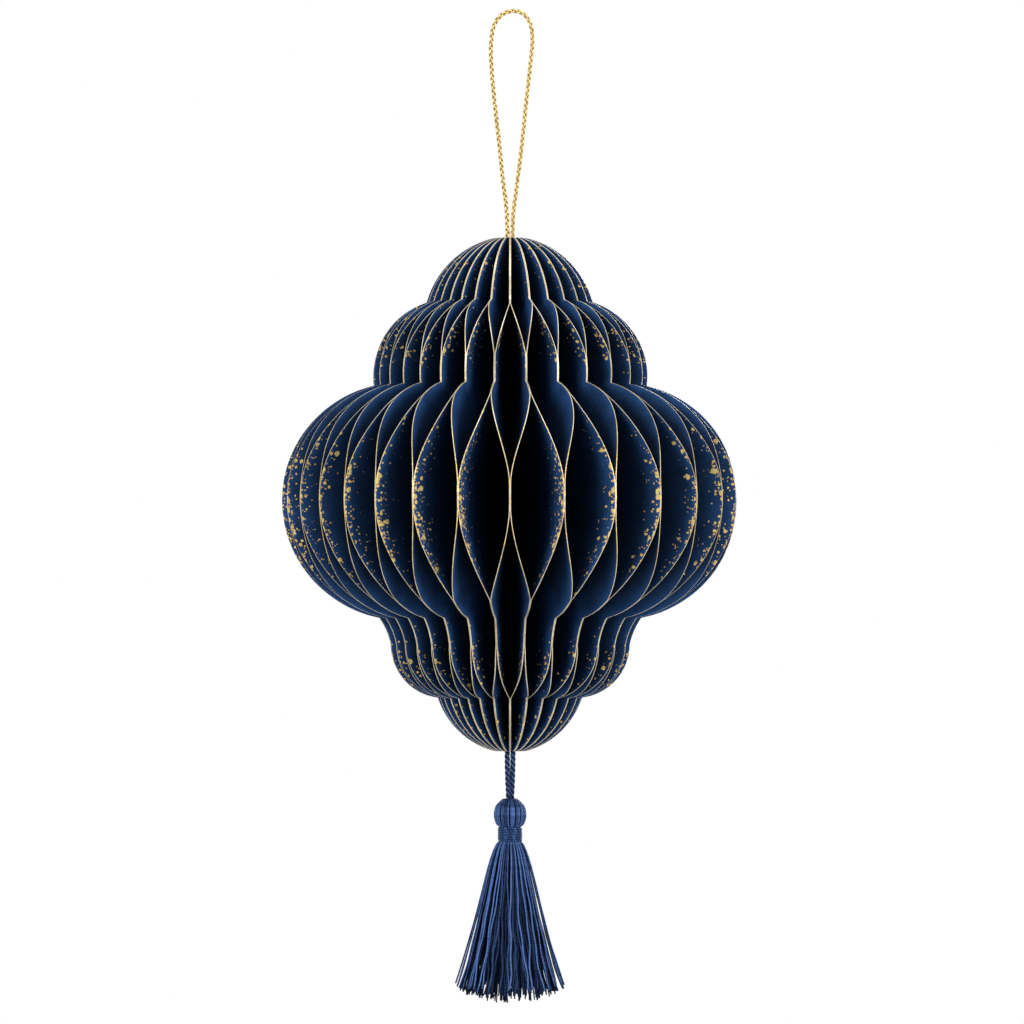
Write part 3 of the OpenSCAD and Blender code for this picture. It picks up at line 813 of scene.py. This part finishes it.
hank = ThreadWork()
for layer, inset in enumerate((THREAD_R, THREAD_R + 0.22)):
    for k in range(OUTER_THREADS):
        azimuth = math.tau * (k + 0.5 + layer / 2 + draw.uniform(-0.12, 0.12)) / OUTER_THREADS
        skirt = skirt_rail(inset, draw.uniform(0.88, 1.03) - 0.1 * layer, draw.uniform(0.97, 1.01))
        start = neck_rail(inset) if layer else head_rail(inset)
        # Painted shade: the threads of the under layer get darker tones
        tone = draw.uniform(*(UNDER_SHADED_TONES if layer else OUTER_TONES))
        add_thread(start, skirt, azimuth, THREAD_R, draw.uniform(*HEAD_TONES), tone)
# Painted shade: the deeper a layer lies, the darker its threads' tones
for share, count in LAYERS:
    for k in range(count):
        azimuth = math.tau * (k + draw.uniform(-0.3, 0.3)) / count
        skirt = skirt_rail(THREAD_R, share + draw.uniform(-0.05, 0.05), draw.uniform(0.97, 1.01))
        add_thread([], skirt, azimuth, draw.uniform(0.8, 1) * THREAD_R, 0, draw.uniform(0.05, 0.5 * share))
print(len(hank.bm.faces), "faces of thread")

# %% Core inside the hank, painted dark as shade
core_line = [(1.2, TASSEL_TOP - 1.2)]
core_line += [(head_r(f) - 0.8, TASSEL_TOP - f * HEAD_H) for f in (0.1, 0.3, 0.5, 0.7, 0.9)]
core_line += [(NECK_R - 0.6, NECK_TOP), (NECK_R - 0.6, NECK_FOOT)]
core_line += [(0.6 * skirt_r(f), NECK_FOOT - f * SKIRT_H) for f in (0.05, 0.2, 0.4, 0.6, 0.8, 0.94)]
core_line += [(0, NECK_FOOT - 0.94 * SKIRT_H - 2)]
before = set(hank.bm.faces)
points = [hank.bm.verts.new((r * MM, 0, z * MM)) for r, z in core_line]
edges = [hank.bm.edges.new(pair) for pair in zip(points, points[1:])]
bmesh.ops.spin(
    hank.bm, geom=points + edges, cent=(0, 0, 0), axis=(0, 0, 1), angle=math.tau, steps=32, use_merge=True
)
for face in set(hank.bm.faces) - before:
    face.material_index, face.smooth = 1, True
tassel_hank = hank.piece("thread_hank", silk, shaded_core)
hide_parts("tassel_hank")
print("Hank of", len(tassel_hank.data.polygons), "faces")

# %% Binding round the neck
BOUND_H = WRAP_H - 2 * GLUE_FILM
TURN_R = BOUND_H / WRAP_TURNS / 2
TURN_FLAT = 0.6
BINDING_R = NECK_R + GLUE_FILM + (2 - TURN_FLAT) * TURN_R

turns = np.linspace(0, WRAP_TURNS - 1, 48 * (WRAP_TURNS - 1) + 1)
tuck = np.minimum(1, np.minimum(turns, turns[-1] - turns) / 0.1)
binding_r = BINDING_R - 0.3 * (1 - tuck)
heights = NECK_TOP - GLUE_FILM - TURN_R - turns * 2 * TURN_R
angles = math.tau * turns + math.pi / 2
binding = ThreadWork()
wound = np.column_stack([binding_r * np.cos(angles), binding_r * np.sin(angles), heights])
axis, outward = wound * (0, 0, 1), wound * (1, 1, 0)
binding.add(wound, TURN_R, STRAND_SIDES, axis, 0.4, TURN_FLAT, outward)
tassel_wrap = binding.piece("wound_binding", binding_silk)
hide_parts("tassel_wrap")
print("Binding of", WRAP_TURNS, "turns")

# %% [markdown]
# ## Light, floor and background
# The background is plain white, and soft light comes from all round, as in a light tent. The world shows
# white to the camera and in reflections, and lights the paper at a plain level. The floor is a pale disc
# below the tassel that fades to white at its rim, so that it keeps a shadow without a horizon. From below
# it is clear, and the lantern can be looked at from there too.

# %% World
world = bpy.data.worlds.new("light_tent")
world.use_nodes = True
scene.world = world
tree = world.node_tree
tree.nodes.clear()
rays = node(tree, "LightPath").outputs
seen = calc(tree, "MAXIMUM", rays["Is Camera Ray"], rays["Is Glossy Ray"])
seen = calc(tree, "MAXIMUM", seen, rays["Is Transmission Ray"])
soft = node(tree, "Background", {"Color": (1, 1, 1, 1), "Strength": 0.3}).outputs[0]
white = node(tree, "Background", {"Color": (1, 1, 1, 1), "Strength": 1.0}).outputs[0]
sky = node(tree, "MixShader", {0: seen, 1: soft, 2: white}).outputs[0]
node(tree, "OutputWorld", {"Surface": sky})
scene.view_settings.view_transform = "Standard"
print("World:", world.name)

# %% Lamps
LAMPS = [  # name, place and power
    ("left_softbox", (-0.9, -1.1, 0.25), 9.5),
    ("right_softbox", (1.0, -1.0, 0.1), 9.5),
    ("top_softbox", (0.0, -0.2, 0.9), 3.8),
    ("back_softbox", (0.4, 1.4, 0.2), 9.0),
]
LAMP_SIZE = 0.6
MIDDLE = (cad_box[0] + cad_box[1]) / 2

for name, place, watts in LAMPS:
    lamp = bpy.data.objects.new(name, bpy.data.lights.new(name, "AREA"))
    lamp.data.shape, lamp.data.size, lamp.data.size_y = "RECTANGLE", LAMP_SIZE, LAMP_SIZE
    lamp.data.energy = watts
    lamp.location = place
    lamp.rotation_euler = (MIDDLE - lamp.location).to_track_quat("-Z", "Y").to_euler()
    scene.collection.objects.link(lamp)
print(len(LAMPS), "lamps")

# %% Floor
FLOOR_Z, FLOOR_R = cad_box[0].z - 0.06, 0.7

floor_finish, tree, shader = new_material("pale_floor", Roughness=0.7)
spot = node(tree, "TexCoord").outputs["Object"]
speckle = node(tree, "TexNoise", {"Vector": spot, "Scale": 60.0, "Detail": 4.0}).outputs[0]
tree.links.new(mix(tree, speckle, (0.80, 0.80, 0.81), (0.86, 0.86, 0.86)), shader["Base Color"])
level = node(tree, "VectorMath", {0: spot, 1: (1, 1, 0)}, operation="MULTIPLY").outputs[0]
away = node(tree, "VectorMath", {0: level}, operation="LENGTH").outputs["Value"]
glow = node(tree, "Emission", {"Color": (1, 1, 1, 1), "Strength": 1.0}).outputs[0]
principled = tree.nodes["Principled BSDF"].outputs[0]
fade = stretch(tree, away, 0.25, 0.98 * FLOOR_R)
surface = node(tree, "MixShader", {0: fade, 1: principled, 2: glow}).outputs[0]
from_below, clear = node(tree, "NewGeometry").outputs["Backfacing"], node(tree, "BsdfTransparent").outputs[0]
surface = node(tree, "MixShader", {0: from_below, 1: surface, 2: clear}).outputs[0]
tree.links.new(surface, tree.nodes["Material Output"].inputs["Surface"])

bm = bmesh.new()
bmesh.ops.create_circle(bm, cap_ends=True, segments=128, radius=FLOOR_R)
bmesh.ops.translate(bm, verts=bm.verts, vec=(0, 0, FLOOR_Z))
mesh = bpy.data.meshes.new("floor")
bm.to_mesh(mesh)
bm.free()
mesh.materials.append(floor_finish)
floor = bpy.data.objects.new("floor", mesh)
scene.collection.objects.link(floor)
print("Floor at", round(FLOOR_Z, 3), "m")
